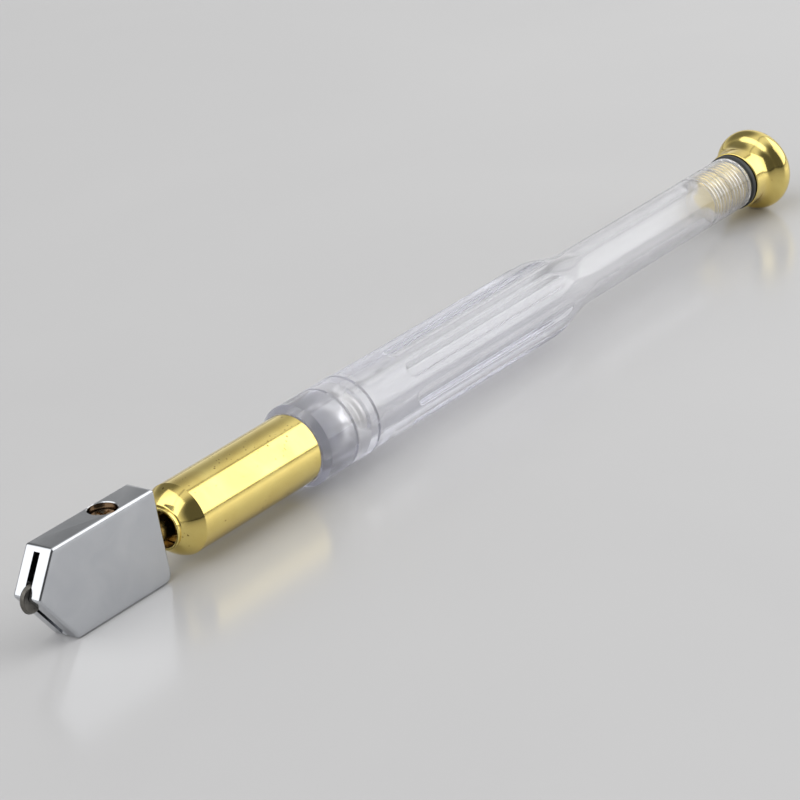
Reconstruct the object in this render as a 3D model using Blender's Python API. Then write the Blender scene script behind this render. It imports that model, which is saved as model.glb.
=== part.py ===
"""Oil-feed glass cutter, lying on its head and its cap.

Lengths are in millimetres and are turned into metres when a mesh is made.
Stations along the tool are measured from the ferrule's front shoulder, +X towards the filler cap.
Heights are measured from the tool's axis, +Z towards the clamp screw in the head.
"""

import math

import bmesh
import bpy
from mathutils import Matrix, Vector

MM = 0.001

# Ferrule, the brass tube between head and handle
FERRULE_RADIUS = 5.0
FERRULE_LENGTH = 23.85
FERRULE_WALL = 0.95
NOSE_LENGTH = 2.6
NOSE_SWEEP = 34.0
NOSE_LIP_RADIUS = 3.0
NOSE_LIP_LENGTH = 0.7
NOSE_BORE_RADIUS = 2.62
NOSE_WALL_END = 4.0

# Cutting head
HEAD_THICKNESS = 4.45
HEAD_ABOVE = 7.14
HEAD_BELOW = 6.28
HEAD_TOP_FRONT = -25.3
HEAD_NOSE = (-28.85, 1.42)
HEAD_BOTTOM_FRONT = -22.75
HEAD_BOTTOM_REAR = -4.5
HEAD_TOP_REAR = -5.8
HEAD_REAR_CORNER = 1.1
HEAD_EDGE = 0.3
SLOT_WIDTH = 1.0
SLOT_BACK = -23.0
SLOT_TOP = 6.5

# Wheel and its axle, across the head
WHEEL_STATION = -27.7
WHEEL_HEIGHT = 1.1
WHEEL_RADIUS = 2.0
WHEEL_THICKNESS = 0.84
WHEEL_BEVEL = 0.2
AXLE_RADIUS = 0.4
AXLE_FAR_END = 2.0
AXLE_NEAR_END = -1.45
RUNNING_GAP = 0.06

# Shaft that carries the head and works the valve
SHAFT_RADIUS = 1.6
SHAFT_BORE_RADIUS = 0.75
SHAFT_FRONT = -20.0
SHAFT_FLANGE = (5.2, 6.2)
SHAFT_FLANGE_RADIUS = 2.8
SHAFT_TAIL_END = 11.0
SHAFT_TAIL_RADIUS = 1.5
OIL_HOLE_STATION = 8.0
OIL_HOLE_RADIUS = 0.4
WICK_RADIUS = 0.5
WICK_FRONT = -23.4
WICK_REAR = 7.4

# Clamp screw in the top of the head
SCREW_STATION = -13.2
SCREW_HOLE_RADIUS = 1.95
SCREW_HEAD_RADIUS = 1.82
SCREW_HEAD_TOP = 6.3
SCREW_SEAT = 4.9
SCREW_SHANK_RADIUS = 1.42
SCREW_TIP_RADIUS = 0.95
SCREW_TIP_HEIGHT = 1.2

# Valve train inside the ferrule
BUSH_FRONT = -1.4
BUSH_FLANGE_END = 5.0
SPRING_START = 6.3
SPRING_END = 11.8
SPRING_RADIUS = 2.15
SPRING_WIRE_RADIUS = 0.24
SPRING_TURNS = 5.0
WASHER_START = 11.95
WASHER_END = 12.3
SEAT_START = 12.5
SEAT_SHOULDER = 14.7
SEAT_END = 15.15
SEAL_END = 16.3
STEM_RADIUS = 0.68
STEM_HEAD = (16.4, 17.2)

# Threaded nipple that joins the ferrule to the handle
NIPPLE_START = 15.3
NIPPLE_FRONT_RADIUS = 3.9
NIPPLE_STEP = 23.7
NIPPLE_REAR_RADIUS = 3.2
NIPPLE_END = 35.2
NIPPLE_BORE_RADIUS = 1.95
SOCKET_RADIUS = 3.3
SOCKET_END = 35.4

# Clear handle, which is also the oil reservoir
HANDLE_START = 24.0
COLLAR_RADIUS = 5.88
COLLAR_CHAMFER = (1.0, 0.73)
GROOVE_STATIONS = (30.6, 35.45)
GROOVE_HALF_WIDTH = 0.22
GROOVE_DEPTH = 0.25
GRIP_RADIUS = 5.78
SHOULDER_START = 79.5
SHOULDER_END = 90.5
TAIL_RADIUS = 4.13
TAIL_GROOVE_STATIONS = (122.6, 127.2)
HANDLE_END = 132.8
RESERVOIR_RADIUS = 2.45
THREAD_START = 123.0
THREAD_RADIUS = 2.58
FLUTE_COUNT = 9
FLUTE_CUTTER_RADIUS = 2.75
FLUTE_FLOOR_RADIUS = 5.45
FLUTE_START = 43.0
FLUTE_END = 87.0
FLUTE_PHASE = 50.0

# Filler cap
CAP_WASHER_START = 132.9
CAP_WASHER_END = 133.95
CAP_WASHER_RADIUS = 4.3
CAP_START = 134.1
CAP_NECK_RADIUS = 4.45
CAP_NECK_END = 136.1
CAP_FILLET_END = 138.1
CAP_WIDEST = 139.9
CAP_RADIUS = 6.28
CAP_FRONT = 3.4
CAP_REAR = 3.55
STUD_START = 125.0
STUD_RADIUS = 2.5

# The frame: the origin is under the middle of the tool's length
FRONT_END = WHEEL_STATION - WHEEL_RADIUS
REAR_END = CAP_WIDEST + CAP_REAR
AXIS_POSITION = Vector((-(FRONT_END + REAR_END) / 2, 0, CAP_RADIUS)) * MM

COARSE = 24
FINE = 40


def clear_scene():
    for obj in list(bpy.data.objects):
        bpy.data.objects.remove(obj, do_unlink=True)


def material(name, colour, roughness, metallic=0.0, transmission=0.0):
    made = bpy.data.materials.new(name)
    made.use_nodes = True
    shader = made.node_tree.nodes["Principled BSDF"]
    shader.inputs["Base Color"].default_value = (*colour, 1.0)
    shader.inputs["Roughness"].default_value = roughness
    shader.inputs["Metallic"].default_value = metallic
    shader.inputs["Transmission Weight"].default_value = transmission
    made.diffuse_color = (*colour, 1.0)
    return made


def add_object(name, mesh, parent, finish=None):
    obj = bpy.data.objects.new(name, mesh)
    bpy.context.scene.collection.objects.link(obj)
    obj.parent = parent
    if finish:
        mesh.materials.append(finish)
    return obj


def add_empty(name, parent, station=0.0, height=0.0):
    empty = add_object(name, None, parent)
    empty.location = (station * MM, 0, height * MM)
    return empty


def mesh_from(bm, name):
    """The mesh of a bmesh whose faces are turned outwards and whose round faces are smooth."""
    bmesh.ops.remove_doubles(bm, verts=bm.verts, dist=1e-7)
    bmesh.ops.dissolve_degenerate(bm, edges=bm.edges, dist=1e-7)
    bmesh.ops.recalc_face_normals(bm, faces=bm.faces)
    mesh = bpy.data.meshes.new(name)
    bm.to_mesh(mesh)
    bm.free()
    mesh.shade_smooth()
    mesh.set_sharp_from_angle(angle=math.radians(28))
    return mesh


def turned_mesh(name, profile, segments, axis=Vector((1, 0, 0)), outward=Vector((0, 0, 1))):
    """A solid of revolution: the profile is (along axis, radius) pairs round a closed outline."""
    bm = bmesh.new()
    corners = [bm.verts.new((axis * along + outward * radius) * MM) for along, radius in profile]
    edges = [bm.edges.new((a, b)) for a, b in zip(corners, corners[1:] + corners[:1])]
    bmesh.ops.spin(
        bm,
        geom=corners + edges,
        cent=(0, 0, 0),
        axis=axis,
        angle=2 * math.pi,
        steps=segments,
        use_merge=True,
    )
    bmesh.ops.remove_doubles(bm, verts=bm.verts, dist=1e-7)
    on_axis = [e for e in bm.edges if not e.link_faces]
    bmesh.ops.delete(bm, geom=on_axis, context="EDGES")
    return mesh_from(bm, name)


def turned(name, profile, segments, parent, finish):
    return add_object(name, turned_mesh(name, profile, segments), parent, finish)


def ring_profile(start, end, inner, outer):
    return [(start, inner), (start, outer), (end, outer), (end, inner)]


def round_profile(station, centre_radius, section_radius, points=12):
    """The round section of an O-ring."""
    angles = [2 * math.pi * i / points for i in range(points)]
    return [
        (station + section_radius * math.cos(a), centre_radius + section_radius * math.sin(a))
        for a in angles
    ]


def arc(centre, radii, first, last, points):
    """Points on an ellipse about centre, from one angle to another in degrees, ends included."""
    steps = [math.radians(first + (last - first) * i / (points - 1)) for i in range(points)]
    return [(centre[0] + radii[0] * math.cos(a), centre[1] + radii[1] * math.sin(a)) for a in steps]


def swept_arc(start, end, sweep, points):
    """Points on a circular arc between two profile points, ends included.

    It turns through sweep degrees, bulging away from the axis, or towards it when sweep is negative.
    """
    half = math.radians(sweep) / 2
    start, end = Vector(start), Vector(end)
    chord = end - start
    radius = chord.length / (2 * math.sin(half))
    left = Vector((-chord.y, chord.x)).normalized()
    centre = (start + end) / 2 - left * radius * math.cos(half)
    found = []
    for i in range(points):
        angle = half * (1 - 2 * i / (points - 1))
        c, s = math.cos(angle), math.sin(angle)
        found.append((
            centre.x + radius * (left.x * c - left.y * s),
            centre.y + radius * (left.x * s + left.y * c),
        ))
    return found


def box_mesh(name, low, high):
    bm = bmesh.new()
    bmesh.ops.create_cube(bm, size=1.0)
    middle = (Vector(low) + Vector(high)) / 2
    size = Vector(high) - Vector(low)
    bmesh.ops.transform(bm, matrix=Matrix.Diagonal((*(size * MM), 1)), verts=bm.verts)
    bmesh.ops.translate(bm, vec=middle * MM, verts=bm.verts)
    return mesh_from(bm, name)


def cut(obj, name, mesh, parent):
    """Takes the mesh away from the object with a Boolean, and hides the cutter."""
    cutter = add_object(name, mesh, parent)
    cutter.hide_render = True
    cutter.display_type = "WIRE"
    modifier = obj.modifiers.new(name, "BOOLEAN")
    modifier.operation = "DIFFERENCE"
    modifier.solver = "EXACT"
    modifier.object = cutter
    return cutter


def head_outline():
    """The head's side view as (station, height) corners, its lower rear corner rounded."""
    corner = (HEAD_BOTTOM_REAR - HEAD_REAR_CORNER, -HEAD_BELOW + HEAD_REAR_CORNER)
    rounded = arc(corner, (HEAD_REAR_CORNER, HEAD_REAR_CORNER), 270, 355, 5)
    return [
        (HEAD_TOP_FRONT, HEAD_ABOVE),
        HEAD_NOSE,
        (HEAD_BOTTOM_FRONT, -HEAD_BELOW),
        *rounded,
        (HEAD_TOP_REAR, HEAD_ABOVE),
    ]


def head_block_mesh():
    bm = bmesh.new()
    half = HEAD_THICKNESS / 2
    corners = [bm.verts.new(Vector((x, -half, z)) * MM) for x, z in head_outline()]
    side = bm.faces.new(corners)
    extruded = bmesh.ops.extrude_face_region(bm, geom=[side])["geom"]
    moved = [v for v in extruded if isinstance(v, bmesh.types.BMVert)]
    bmesh.ops.translate(bm, vec=Vector((0, HEAD_THICKNESS, 0)) * MM, verts=moved)
    bmesh.ops.recalc_face_normals(bm, faces=bm.faces)
    sharp = [e for e in bm.edges if e.calc_face_angle(0) > math.radians(30)]
    bmesh.ops.bevel(
        bm, geom=sharp, offset=HEAD_EDGE * MM, segments=2, profile=0.5, affect="EDGES"
    )
    return mesh_from(bm, "head_body")


def make_head(parent, finish):
    """The block, cut for the wheel slot, the shaft, the wick, the axle and the clamp screw."""
    head = add_object("head_body", head_block_mesh(), parent, finish)
    far = HEAD_THICKNESS
    slot = box_mesh(
        "slot_cutter",
        (HEAD_NOSE[0] - far, -SLOT_WIDTH / 2, -HEAD_BELOW - far),
        (SLOT_BACK, SLOT_WIDTH / 2, SLOT_TOP),
    )
    cut(head, "slot_cutter", slot, parent)
    bore_radius = SHAFT_RADIUS + RUNNING_GAP
    wick_hole = WICK_RADIUS + 0.12
    bore_bottom = SHAFT_FRONT - 0.4
    bore = [
        (SLOT_BACK - 1.0, 0),
        (SLOT_BACK - 1.0, wick_hole),
        (bore_bottom, wick_hole),
        (bore_bottom, bore_radius),
        (0, bore_radius),
        (0, 0),
    ]
    cut(head, "shaft_bore_cutter", turned_mesh("shaft_bore_cutter", bore, COARSE), parent)
    thread = SCREW_SHANK_RADIUS + 0.08
    screw_hole = [
        (0.5, 0),
        (0.5, thread),
        (SCREW_SEAT, thread),
        (SCREW_SEAT, SCREW_HOLE_RADIUS),
        (HEAD_ABOVE + 1.0, SCREW_HOLE_RADIUS),
        (HEAD_ABOVE + 1.0, 0),
    ]
    up, forward = Vector((0, 0, 1)), Vector((1, 0, 0))
    hole = turned_mesh("screw_hole_cutter", screw_hole, COARSE, up, forward)
    cut(head, "screw_hole_cutter", hole, parent).location.x = SCREW_STATION * MM
    axle_hole = ring_profile(AXLE_NEAR_END - 0.15, HEAD_THICKNESS, 0, AXLE_RADIUS + 0.05)
    across = Vector((0, 1, 0))
    hole = turned_mesh("axle_hole_cutter", axle_hole, COARSE, across, up)
    cutter = cut(head, "axle_hole_cutter", hole, parent)
    cutter.location = Vector((WHEEL_STATION, 0, WHEEL_HEIGHT)) * MM


def make_wheel(parent, finish):
    """A flat-sided disc with a V-shaped edge, turned about the axle."""
    half = WHEEL_THICKNESS / 2
    bore = AXLE_RADIUS + RUNNING_GAP
    profile = [
        (-half, bore),
        (-half, WHEEL_RADIUS - WHEEL_BEVEL),
        (0, WHEEL_RADIUS),
        (half, WHEEL_RADIUS - WHEEL_BEVEL),
        (half, bore),
    ]
    mesh = turned_mesh("cutting_wheel", profile, FINE, Vector((0, 1, 0)), Vector((-1, 0, 0)))
    add_object("cutting_wheel", mesh, parent, finish)


def make_axle(parent, finish):
    chamfer = 0.12
    profile = [
        (AXLE_NEAR_END, 0),
        (AXLE_NEAR_END, AXLE_RADIUS - chamfer),
        (AXLE_NEAR_END + chamfer, AXLE_RADIUS),
        (AXLE_FAR_END - chamfer, AXLE_RADIUS),
        (AXLE_FAR_END, AXLE_RADIUS - chamfer),
        (AXLE_FAR_END, 0),
    ]
    mesh = turned_mesh("wheel_axle", profile, COARSE, Vector((0, 1, 0)), Vector((0, 0, 1)))
    add_object("wheel_axle", mesh, parent, finish)


def make_clamp_screw(parent, finish):
    """A cross-slotted screw whose plain tip runs in the shaft's groove."""
    under_head = SCREW_SEAT + 0.15
    tip_shoulder = SHAFT_RADIUS + 0.15
    profile = [
        (SCREW_TIP_HEIGHT, 0),
        (SCREW_TIP_HEIGHT, SCREW_TIP_RADIUS),
        (tip_shoulder, SCREW_TIP_RADIUS),
        (tip_shoulder, SCREW_SHANK_RADIUS),
        (under_head, SCREW_SHANK_RADIUS),
        (under_head, SCREW_HEAD_RADIUS),
        (SCREW_HEAD_TOP - 0.25, SCREW_HEAD_RADIUS),
        (SCREW_HEAD_TOP, SCREW_HEAD_RADIUS - 0.35),
        (SCREW_HEAD_TOP, 0),
    ]
    mesh = turned_mesh("head_screw", profile, COARSE, Vector((0, 0, 1)), Vector((1, 0, 0)))
    screw = add_object("head_screw", mesh, parent, finish)
    long, half, floor = 1.25, 0.22, SCREW_HEAD_TOP - 0.7
    above = SCREW_HEAD_TOP + 0.5
    bar = box_mesh("cross_slot_a_cutter", (-long, -half, floor), (long, half, above))
    cut(screw, "cross_slot_a_cutter", bar, parent)
    bar = box_mesh("cross_slot_b_cutter", (-half, -long, floor), (half, long, above))
    cut(screw, "cross_slot_b_cutter", bar, parent)


def make_shaft(parent, finish):
    """A drilled shaft: plain in the head and bush, grooved for the screw, flanged for the spring."""
    groove_half = SCREW_TIP_RADIUS + 0.2
    groove_radius = SCREW_TIP_HEIGHT - 0.15
    start, end = SHAFT_FLANGE
    profile = [
        (SHAFT_FRONT, SHAFT_BORE_RADIUS),
        (SHAFT_FRONT, SHAFT_RADIUS - 0.2),
        (SHAFT_FRONT + 0.2, SHAFT_RADIUS),
        (SCREW_STATION - groove_half, SHAFT_RADIUS),
        (SCREW_STATION - groove_half, groove_radius),
        (SCREW_STATION + groove_half, groove_radius),
        (SCREW_STATION + groove_half, SHAFT_RADIUS),
        (start, SHAFT_RADIUS),
        (start, SHAFT_FLANGE_RADIUS),
        (end, SHAFT_FLANGE_RADIUS),
        (end, SHAFT_TAIL_RADIUS),
        (SHAFT_TAIL_END, SHAFT_TAIL_RADIUS),
        (SHAFT_TAIL_END, SHAFT_BORE_RADIUS),
    ]
    shaft = turned("head_shaft", profile, COARSE, parent, finish)
    drill = ring_profile(-SHAFT_RADIUS - 1, SHAFT_RADIUS + 1, 0, OIL_HOLE_RADIUS)
    mesh = turned_mesh("oil_hole_cutter", drill, 12, Vector((0, 0, 1)), Vector((1, 0, 0)))
    cut(shaft, "oil_hole_cutter", mesh, parent).location.x = OIL_HOLE_STATION * MM


def make_wick(parent, finish):
    turned("oil_wick", ring_profile(WICK_FRONT, WICK_REAR, 0, WICK_RADIUS), 12, parent, finish)


def make_ferrule(parent, finish):
    """A tube with a domed nose, a plain lip round the shaft, and a bore for the valve train."""
    lip_front = -NOSE_LENGTH - NOSE_LIP_LENGTH
    dome = swept_arc((-NOSE_LENGTH, NOSE_LIP_RADIUS), (0, FERRULE_RADIUS), NOSE_SWEEP, 7)
    bore = FERRULE_RADIUS - FERRULE_WALL
    profile = [
        (lip_front, NOSE_BORE_RADIUS + 0.1),
        (lip_front, NOSE_LIP_RADIUS - 0.1),
        (lip_front + 0.1, NOSE_LIP_RADIUS),
        *dome,
        (FERRULE_LENGTH - 0.1, FERRULE_RADIUS),
        (FERRULE_LENGTH, FERRULE_RADIUS - 0.1),
        (FERRULE_LENGTH, bore),
        (NOSE_WALL_END, bore),
        (NOSE_WALL_END, NOSE_BORE_RADIUS),
        (lip_front + 0.1, NOSE_BORE_RADIUS),
    ]
    turned("ferrule", profile, FINE, parent, finish)


def make_bush(parent, finish):
    """The shaft's guide: a flanged sleeve with an inner groove for the shaft seal."""
    bore = SHAFT_RADIUS + RUNNING_GAP
    sleeve = NOSE_BORE_RADIUS - 0.06
    flange_front = NOSE_WALL_END + 0.15
    flange = FERRULE_RADIUS - FERRULE_WALL - 0.15
    profile = [
        (BUSH_FRONT, bore),
        (BUSH_FRONT, sleeve),
        (flange_front, sleeve),
        (flange_front, flange),
        (BUSH_FLANGE_END, flange),
        (BUSH_FLANGE_END, bore),
        (2.1, bore),
        (2.1, 2.25),
        (0.9, 2.25),
        (0.9, bore),
    ]
    turned("shaft_bush", profile, COARSE, parent, finish)
    return (2.1 + 0.9) / 2


def make_seals(parent, bush_groove, finish):
    turned("shaft_seal", round_profile(bush_groove, 1.93, 0.26), COARSE, parent, finish)
    turned("ferrule_seal", round_profile(21.5, 3.62, 0.36), COARSE, parent, finish)
    gasket = ring_profile(SEAT_SHOULDER + 0.12, NIPPLE_START - 0.12, 2.2, 3.8)
    turned("seat_gasket", gasket, COARSE, parent, finish)


def make_spring(parent, finish):
    """A coil with close end turns, drawn as a swept wire."""
    per_turn = 14
    count = int(SPRING_TURNS * per_turn)
    points = []
    low, high = SPRING_START + SPRING_WIRE_RADIUS, SPRING_END - SPRING_WIRE_RADIUS
    closed = 0.18
    for i in range(count + 1):
        share = i / count
        eased = share - closed * math.sin(2 * math.pi * share) / (2 * math.pi) * 2
        angle = 2 * math.pi * SPRING_TURNS * share
        station = low + (high - low) * eased
        points.append((station, SPRING_RADIUS * math.cos(angle), SPRING_RADIUS * math.sin(angle)))
    curve = bpy.data.curves.new("return_spring", "CURVE")
    curve.dimensions = "3D"
    curve.bevel_depth = SPRING_WIRE_RADIUS * MM
    curve.bevel_resolution = 1
    curve.use_fill_caps = True
    spline = curve.splines.new("POLY")
    spline.points.add(len(points) - 1)
    for point, place in zip(spline.points, points):
        point.co = (*(Vector(place) * MM), 1)
    curve.materials.append(finish)
    add_object("return_spring", curve, parent)


def make_spring_washer(parent, finish):
    turned("spring_washer", ring_profile(WASHER_START, WASHER_END, 1.7, 3.6), COARSE, parent, finish)


def make_valve_seat(parent, finish):
    """The plug whose small raised mouth the valve seal closes from behind."""
    mouth, hole = 1.7, 1.0
    profile = [
        (SEAT_START, hole),
        (SEAT_START, FERRULE_RADIUS - FERRULE_WALL - 0.1),
        (SEAT_SHOULDER, FERRULE_RADIUS - FERRULE_WALL - 0.1),
        (SEAT_SHOULDER, mouth),
        (SEAT_END, mouth - 0.2),
        (SEAT_END, hole),
    ]
    turned("valve_seat", profile, COARSE, parent, finish)


def make_valve_stem(parent, finish):
    front = OIL_HOLE_STATION + 2 * OIL_HOLE_RADIUS
    head_start, head_end = STEM_HEAD
    profile = [
        (front, 0),
        (front, STEM_RADIUS),
        (head_start, STEM_RADIUS),
        (head_start, 1.5),
        (head_end, 1.5),
        (head_end, 0),
    ]
    turned("valve_stem", profile, COARSE, parent, finish)


def make_valve_seal(parent, finish):
    seal = ring_profile(SEAT_END + 0.12, SEAL_END, STEM_RADIUS + 0.07, 1.72)
    turned("valve_seal", seal, COARSE, parent, finish)


def make_nipple(parent, finish):
    """A sleeve that fills the ferrule's rear and the handle's front socket, grooved for a seal."""
    front, rear = NIPPLE_FRONT_RADIUS, NIPPLE_REAR_RADIUS
    profile = [
        (NIPPLE_START, NIPPLE_BORE_RADIUS),
        (NIPPLE_START, front - 0.3),
        (NIPPLE_START + 0.3, front),
        (20.9, front),
        (20.9, 3.15),
        (22.1, 3.15),
        (22.1, front),
        (NIPPLE_STEP, front),
        (NIPPLE_STEP, rear),
        (NIPPLE_END - 0.3, rear),
        (NIPPLE_END, rear - 0.3),
        (NIPPLE_END, NIPPLE_BORE_RADIUS),
    ]
    turned("barrel_nipple", profile, COARSE, parent, finish)


def groove(station, radius, depth=GROOVE_DEPTH):
    """A V-shaped ring groove, as three points of an outer outline."""
    half = GROOVE_HALF_WIDTH
    return [(station - half, radius), (station, radius - depth), (station + half, radius)]


def shoulder_outline(points=9):
    """A cosine ramp from the grip down to the slimmer tail."""
    found = []
    for i in range(points):
        share = i / (points - 1)
        drop = (1 - math.cos(math.pi * share)) / 2
        station = SHOULDER_START + (SHOULDER_END - SHOULDER_START) * share
        found.append((station, GRIP_RADIUS + (TAIL_RADIUS - GRIP_RADIUS) * drop))
    return found


def handle_profile():
    chamfer_length, chamfer_rise = COLLAR_CHAMFER
    collar = [
        (HANDLE_START, COLLAR_RADIUS - chamfer_rise),
        (HANDLE_START + chamfer_length, COLLAR_RADIUS),
        *groove(GROOVE_STATIONS[0], COLLAR_RADIUS),
        *groove(GROOVE_STATIONS[1], COLLAR_RADIUS),
        (GROOVE_STATIONS[1] + 1.2, GRIP_RADIUS),
    ]
    tail = [p for station in TAIL_GROOVE_STATIONS for p in groove(station, TAIL_RADIUS, 0.15)]
    return [
        (SOCKET_END, RESERVOIR_RADIUS),
        (SOCKET_END, SOCKET_RADIUS),
        (HANDLE_START, SOCKET_RADIUS),
        *collar,
        *shoulder_outline(),
        *tail,
        (HANDLE_END - 0.25, TAIL_RADIUS),
        (HANDLE_END, TAIL_RADIUS - 0.25),
        (HANDLE_END, THREAD_RADIUS),
        (THREAD_START, THREAD_RADIUS),
        (THREAD_START - 0.2, RESERVOIR_RADIUS),
    ]


def flute_cutter_mesh():
    """Nine round-ended rods set round the grip, each of which cuts one shallow flute."""
    radius = FLUTE_CUTTER_RADIUS
    front, rear = FLUTE_START + radius, FLUTE_END - radius
    rod = [
        *arc((front, 0), (radius, radius), 180, 90, 5),
        *arc((rear, 0), (radius, radius), 90, 0, 5),
    ]
    single = turned_mesh("flute", rod, 20)
    bm = bmesh.new()
    for i in range(FLUTE_COUNT):
        start = len(bm.verts)
        bm.from_mesh(single)
        bm.verts.ensure_lookup_table()
        copied = bm.verts[start:]
        away = Vector((0, 0, (FLUTE_FLOOR_RADIUS + radius) * MM))
        bmesh.ops.translate(bm, vec=away, verts=copied)
        angle = math.radians(FLUTE_PHASE + 360 / FLUTE_COUNT * i)
        turn = Matrix.Rotation(angle, 4, "X")
        bmesh.ops.rotate(bm, cent=(0, 0, 0), matrix=turn, verts=copied)
    return mesh_from(bm, "flute_cutter")


def make_handle(parent, finish):
    handle = turned("handle_barrel", handle_profile(), FINE, parent, finish)
    cut(handle, "flute_cutter", flute_cutter_mesh(), parent)


def make_cap_washer(parent, finish):
    washer = ring_profile(CAP_WASHER_START, CAP_WASHER_END, STUD_RADIUS + 0.2, CAP_WASHER_RADIUS)
    turned("cap_washer", washer, FINE, parent, finish)


def make_cap(parent, finish):
    """A knob, its neck and its threaded stud, turned in one piece: the knob is two half ellipses."""
    drop = (CAP_WIDEST - CAP_FILLET_END) / CAP_FRONT
    meet = CAP_RADIUS * math.sqrt(1 - drop**2)
    rise = math.atan2(meet - CAP_NECK_RADIUS, CAP_FILLET_END - CAP_NECK_END)
    fillet_ends = (CAP_NECK_END, CAP_NECK_RADIUS), (CAP_FILLET_END, meet)
    fillet = swept_arc(*fillet_ends, -2 * math.degrees(rise), 5)
    front = arc((CAP_WIDEST, 0), (CAP_FRONT, CAP_RADIUS), 180 - math.degrees(math.acos(drop)), 90, 6)
    rear = arc((CAP_WIDEST, 0), (CAP_REAR, CAP_RADIUS), 90, 0, 10)[1:]
    profile = [
        (STUD_START, 0),
        (STUD_START, STUD_RADIUS - 0.4),
        (STUD_START + 0.4, STUD_RADIUS),
        (CAP_START, STUD_RADIUS),
        (CAP_START, CAP_NECK_RADIUS - 0.1),
        (CAP_START + 0.1, CAP_NECK_RADIUS),
        *fillet,
        *front[1:],
        *rear,
    ]
    turned("filler_cap", profile, FINE, parent, finish)


def build():
    clear_scene()
    chrome = material("chromed_zinc", (0.62, 0.63, 0.66), 0.12, metallic=1.0)
    brass = material("polished_brass", (0.80, 0.66, 0.28), 0.15, metallic=1.0)
    steel = material("spring_steel", (0.55, 0.55, 0.56), 0.30, metallic=1.0)
    nickel = material("nickel_plate", (0.72, 0.70, 0.67), 0.18, metallic=1.0)
    carbide = material("tungsten_carbide", (0.28, 0.28, 0.29), 0.35, metallic=1.0)
    rubber = material("black_rubber", (0.02, 0.02, 0.02), 0.55)
    cotton = material("cotton_wick", (0.85, 0.82, 0.72), 0.95)
    acrylic = material("clear_acrylic", (0.86, 0.87, 0.95), 0.05, transmission=1.0)

    tool_axis = add_empty("tool_axis", None)
    tool_axis.location = AXIS_POSITION
    wheel_centre = add_empty("wheel_centre", tool_axis, WHEEL_STATION, WHEEL_HEIGHT)
    screw_axis = add_empty("screw_axis", tool_axis, SCREW_STATION)

    make_head(tool_axis, chrome)
    make_wheel(wheel_centre, carbide)
    make_axle(wheel_centre, steel)
    make_clamp_screw(screw_axis, brass)
    make_shaft(tool_axis, brass)
    make_wick(tool_axis, cotton)
    make_ferrule(tool_axis, brass)
    bush_groove = make_bush(tool_axis, brass)
    make_seals(tool_axis, bush_groove, rubber)
    make_spring(tool_axis, steel)
    make_spring_washer(tool_axis, steel)
    make_valve_seat(tool_axis, brass)
    make_valve_stem(tool_axis, brass)
    make_valve_seal(tool_axis, rubber)
    make_nipple(tool_axis, nickel)
    make_handle(tool_axis, acrylic)
    make_cap_washer(tool_axis, rubber)
    make_cap(tool_axis, brass)


build()
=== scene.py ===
"""Looks of an oil-feed glass cutter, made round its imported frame.

Shapes are worked out in millimetres. Stations run along the tool's axis in the frame's own X,
and a turned shape is a list of (station, radius) pairs swung round that axis.
"""

import math

import bpy
import numpy as np
from mathutils import Matrix, Vector


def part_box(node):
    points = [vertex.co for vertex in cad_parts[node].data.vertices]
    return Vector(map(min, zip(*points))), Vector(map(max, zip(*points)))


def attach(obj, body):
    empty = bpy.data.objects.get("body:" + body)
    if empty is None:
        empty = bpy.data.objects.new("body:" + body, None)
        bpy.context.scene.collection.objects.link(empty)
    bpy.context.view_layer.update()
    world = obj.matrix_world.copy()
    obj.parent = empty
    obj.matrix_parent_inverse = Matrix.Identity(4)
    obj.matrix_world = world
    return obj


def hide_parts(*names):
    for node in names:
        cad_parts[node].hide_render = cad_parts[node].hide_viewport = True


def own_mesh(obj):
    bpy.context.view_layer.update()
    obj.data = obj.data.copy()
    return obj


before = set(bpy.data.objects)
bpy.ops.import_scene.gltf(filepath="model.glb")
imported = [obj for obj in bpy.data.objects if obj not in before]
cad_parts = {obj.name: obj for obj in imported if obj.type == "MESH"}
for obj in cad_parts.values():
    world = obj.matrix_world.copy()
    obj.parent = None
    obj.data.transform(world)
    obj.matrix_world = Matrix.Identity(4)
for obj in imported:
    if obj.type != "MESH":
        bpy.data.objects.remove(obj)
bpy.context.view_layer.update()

MM = 1000.0
TURN = 2 * math.pi


def box_mm(node):
    """Lowest and highest corner of a CAD node in millimetres."""
    return tuple(np.array(corner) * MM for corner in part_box(node))


def ends(node):
    low, high = box_mm(node)
    return low[0], high[0]


def radius_of(node):
    low, high = box_mm(node)
    return (high[1] - low[1]) / 2


FERRULE_FRONT, FERRULE_REAR = ends("ferrule")
FERRULE_RADIUS = radius_of("ferrule")
AXIS_HEIGHT = box_mm("ferrule")[0][2] + FERRULE_RADIUS
HEAD_LOW, HEAD_HIGH = box_mm("head_body")
WHEEL_LOW, WHEEL_HIGH = box_mm("cutting_wheel")
SHAFT_FRONT, SHAFT_REAR = ends("head_shaft")
HANDLE_FRONT, HANDLE_REAR = ends("handle_barrel")
CAP_FRONT, CAP_REAR = ends("filler_cap")
SCREW_LOW, SCREW_HIGH = box_mm("head_screw")

# A turning frame is an origin, the axis and two directions square to it, right-handed.
X, Y, Z = np.eye(3)
TOOL = (np.array([0, 0, AXIS_HEIGHT]), X, Y, Z)
WHEEL = ((WHEEL_LOW + WHEEL_HIGH) / 2 * [1, 0, 1], Y, Z, X)
SCREW = ((SCREW_LOW + SCREW_HIGH) / 2 * [1, 1, 0] + AXIS_HEIGHT * Z, Z, X, Y)
SCREW_POCKET = 1.95
FERRULE_BORE = 2.62


# ---------------------------------------------------------------- shape helpers


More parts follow.
